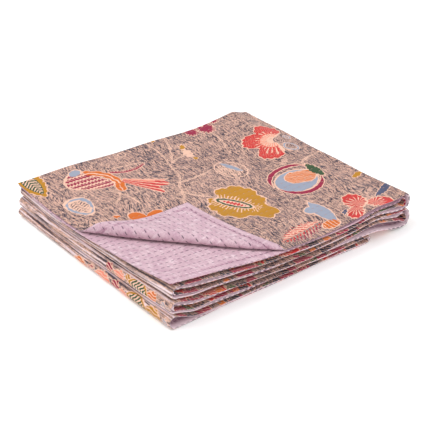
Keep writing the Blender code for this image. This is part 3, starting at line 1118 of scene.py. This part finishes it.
def fine_rows(pitch, upto=WIDTH):
    """Rows close together up to a width, and coarser from there."""
    coarse = 0.02
    edge = [*LIP_STEPS, 0.002]
    inside = np.arange(0.002 + pitch, min(upto, WIDTH - 0.004), pitch)
    rest = np.arange(inside[-1] + coarse, WIDTH - 0.01, coarse) if upto < WIDTH - 0.03 else []
    return np.concatenate([edge, inside, rest, [WIDTH - e for e in edge[::-1]]])


CORNER_LONG = 0.27  # the turned corner, and the cloth it bares, are fine this far along
CORNER_WIDE = 0.30  # and this far across
FLAT_ENDS = 0.022  # flats have close stations this near to a fold
ROUND_FOLD = 9  # stations round a fold
ROUND_CREASED = 44  # and round the face's creased ones


def flats_and_folds(parts, pitch, creased=ROUND_FOLD):
    """Stations over flats and folds of the strip, with a pitch on the flats."""
    runs = []
    for part in parts:
        start, end = part["at"], part["at"] + part["long"]
        if "fold" in part:
            runs.append((start, end, creased if part["fold"][2] in FOLD_CREASES else ROUND_FOLD))
            continue
        near = min(FLAT_ENDS, part["long"] / 4)
        runs.append((start, start + near, 6))
        runs.append((start + near, end - near, max(4, round(part["long"] / pitch))))
        runs.append((end - near, end, 6))
    return spread(*runs)


def build_face(strip, fine):
    """The printed face: its first sheet fine, the folded rest coarser."""
    end, first_fold_end = strip_end(strip), strip[2]["at"]
    top = np.append(LIP_STEPS, np.arange(0.002, first_fold_end - fine / 2, fine))
    top = np.append(top, first_fold_end)
    rest = flats_and_folds(strip[2:], 0.016, ROUND_CREASED)
    rest = np.concatenate([rest[rest < end - 0.002], end - LIP_STEPS[::-1]])
    patches = [(top, fine_rows(fine), 1.0), (rest, near_rows(0.011), 0.0)]
    return sheet_mesh("printed_face", strip, patches, 1, fabric("printed_cotton", True))


def build_back(strip, fine):
    """The plain back: fine on the flap and on the corner that the flap bares."""
    end, first_fold_end = strip_end(strip), strip[2]["at"]
    flap = np.append(LIP_STEPS, np.arange(0.002, CORNER_LONG, fine))
    after_flap = flats_and_folds([{"at": flap[-1], "long": first_fold_end - flap[-1]}], 0.0085)
    middle = flats_and_folds(strip[2:-1], 0.014)
    under_far = spread((strip[-1]["at"], end - CORNER_LONG, 28))
    under_near = np.arange(end - CORNER_LONG, end - 0.002, fine)
    under_near = np.append(under_near, end - LIP_STEPS[::-1])
    corner_rows = fine_rows(fine, CORNER_WIDE)
    patches = [
        (flap, corner_rows, 1.0),
        (after_flap, corner_rows, 0.0),
        (middle, near_rows(0.018), 0.0),
        (under_far, corner_rows, 0.0),
        (under_near, corner_rows, 1.0),
    ]
    return sheet_mesh("plain_back", strip, patches, -1, fabric("lilac_cotton", False))


# ---- the running stitch ----


def thread_material():
    """Sewing thread, dark on the back; on the face the cloth's third number is 1, for tan."""
    material, shader, cloth = cloth_material("sewing_thread")
    s, w, _ = split(cloth)
    twist = sine((s + w) * 9000)
    colour = tint("thread", "streak", 0.35 + 0.3 * noise(cloth, 300))
    colour = tint(colour, "tan deep", split(cloth)[2] * 0.85)
    finish(shader, colour, twist, 0.00008, 0.6, {"Roughness": 0.7, "Sheen Weight": 0.1})
    return material


STITCH_FREE = 0.004  # no stitches this near to the cloth's edge
CORNER_SEWN = 0.26  # stitches of the back are real this far into its corners
SUNK = 0.00016  # a stitch lies this deep in the cloth
ARCH = 0.00018  # and rises this much at its middle


def stitches_on(s_range, w_range, shift):
    """Middles of the running stitches over part of the cloth, as s and w."""
    out = []
    lowest, highest = max(w_range[0], STITCH_FREE), min(w_range[1], WIDTH - STITCH_FREE)
    first_row, last_row = round(w_range[0] / ROW_PITCH), math.ceil(w_range[1] / ROW_PITCH)
    for number in range(first_row, last_row + 1):
        first = math.floor(s_range[0] / STITCH_PITCH + number * ROW_SHIFT + shift)
        last = math.ceil(s_range[1] / STITCH_PITCH + number * ROW_SHIFT + shift)
        for k in range(first, last):
            s = (k - number * ROW_SHIFT - shift) * STITCH_PITCH + STITCH_LONG / 2
            w = wander(number * ROW_PITCH, s, math.sin, -1)
            if s_range[0] < s < s_range[1] and lowest < w < highest:
                out.append((s, w))
    return np.array(out)


def build_threads(strip):
    """Every stitch that shows, as a short round thread arched over its cloth."""
    rings, sides = 5, 6
    end, corner = strip_end(strip), (0, CORNER_SEWN)
    face = stitches_on((STITCH_FREE, strip[1]["at"] + 0.012), (0, WIDTH), 0.0)
    face = face[past_crease(*face.T)[0] < -0.002]
    flap = stitches_on((STITCH_FREE, CORNER_SEWN), corner, BACK_SHIFT)
    flap = flap[past_crease(*flap.T)[0] > -0.004]
    under = stitches_on((end - CORNER_SEWN, end - STITCH_FREE), corner, BACK_SHIFT)
    points, cloth, faces, first = [], [], [], 0
    for middles, side in ((face, 1), (flap, -1), (under, -1)):
        n = len(middles)
        t = np.linspace(-1, 1, rings)
        s = (middles[:, 0][:, None] + t * STITCH_LONG / 2).ravel()
        w = np.repeat(middles[:, 1], rings)
        out = relief(s, w, 1.0) - SUNK
        base, normal = surface(strip, s, w, side, out)
        ahead, _ = surface(strip, s + 1e-4, w, side, out)
        way = ahead - base
        way /= np.linalg.norm(way, axis=1)[:, None]
        aside = np.cross(normal, way)
        taper = np.tile(np.sqrt(np.clip(1.02 - t**2, 0, 1)), n)
        arch = np.tile((1 - t**2), n) * ARCH
        for k in range(sides):
            turn = 2 * math.pi * k / sides
            across_it = aside * math.cos(turn) * (THREAD / 2)
            up = normal * math.sin(turn) * (THREAD / 2) * 0.8
            points.append(base + normal * arch[:, None] + (across_it + up) * taper[:, None])
            cloth.append(np.column_stack([s, w, np.full(len(s), float(side > 0))]))
        index = first + np.arange(sides * n * rings).reshape(sides, n, rings)
        over = np.roll(index, -1, axis=0)
        a, b, c, d = index[:, :, :-1], over[:, :, :-1], over[:, :, 1:], index[:, :, 1:]
        faces.append(np.stack([a, d, c, b], axis=-1).reshape(-1, 4))
        first += sides * n * rings
    points, cloth, faces = np.vstack(points), np.vstack(cloth), np.vstack(faces)
    return new_piece("running_stitch", points, cloth, faces, thread_material())


# ---- stage, light and camera ----


FLOOR = 6.0  # half the floor's side
FLOOR_Z = -0.0002
FLOOR_LOOKS = {
    "Base Color": (0.93, 0.93, 0.93, 1),
    "Emission Color": (1, 1, 1, 1),
    "Emission Strength": 0.16,
    "Roughness": 0.9,
    "Specular IOR Level": 0.1,
}
LIGHTS = (
    # name, power in watts, width, place
    ("key", 26.0, 1.6, (-1.1, 0.6, 2.2)),
    ("fill", 9.0, 2.0, (1.6, -1.4, 1.8)),
    ("front", 17.0, 1.4, (0.9, -2.2, 0.40)),
)
LIGHTS_MEET = Vector((0, 0, 0.04))


def build_floor():
    """A plain white floor that glows a little."""
    mesh = bpy.data.meshes.new("floor")
    corners = [(x * FLOOR, y * FLOOR, FLOOR_Z) for x, y in ((-1, -1), (1, -1), (1, 1), (-1, 1))]
    mesh.from_pydata(corners, [], [(0, 1, 2, 3)])
    material = bpy.data.materials.new("floor")
    material.use_nodes = True
    set_inputs(material.node_tree.nodes["Principled BSDF"], FLOOR_LOOKS)
    mesh.materials.append(material)
    floor = in_scene("floor", mesh)


def build_lights():
    world = bpy.data.worlds.new("studio")
    bpy.context.scene.world = world
    world.use_nodes = True
    set_inputs(world.node_tree.nodes["Background"], {0: (1, 1, 1, 1), 1: 0.80})
    for name, power, size, at in LIGHTS:
        light = bpy.data.lights.new(name, "AREA")
        light.shape = "DISK"
        light.size = size
        light.energy = power
        lamp = in_scene(name, light)
        lamp.location = at
        lamp.rotation_euler = (LIGHTS_MEET - Vector(at)).to_track_quat("-Z", "Y").to_euler()


CAMERA_TURN = math.radians(-38.05)  # from looking along y, about the vertical
CAMERA_RISE = math.radians(29.563)
CAMERA_AWAY = 2.31434
CAMERA_TARGET = (-0.02599, -0.03731, 0.04)
FOCAL_PIXELS = 1250
PHOTO_PIXELS = 430  # the photo's width
SENSOR = 36.0


def build_camera():
    """The photo's own view."""
    level = math.cos(CAMERA_RISE)
    back = (math.sin(CAMERA_TURN) * level, -math.cos(CAMERA_TURN) * level, math.sin(CAMERA_RISE))
    camera = bpy.data.cameras.new("camera")
    camera.sensor_width = SENSOR
    camera.lens = FOCAL_PIXELS / PHOTO_PIXELS * SENSOR
    camera.clip_start, camera.clip_end = 0.05, 50
    eye = in_scene("camera", camera)
    eye.location = [t + CAMERA_AWAY * b for t, b in zip(CAMERA_TARGET, back)]
    eye.rotation_euler = (math.pi / 2 - CAMERA_RISE, 0, CAMERA_TURN)
    bpy.context.scene.camera = eye


def main():
    bpy.context.scene.view_settings.view_transform = "Standard"
    build_camera()
    build_floor()
    build_lights()
    strip = segments()
    fine = 0.0023
    face, back, threads = build_face(strip, fine), build_back(strip, fine), build_threads(strip)
    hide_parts("face_cloth")
    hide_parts("back_cloth")
    for piece in (face, back, threads):
        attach(piece, "root")


main()
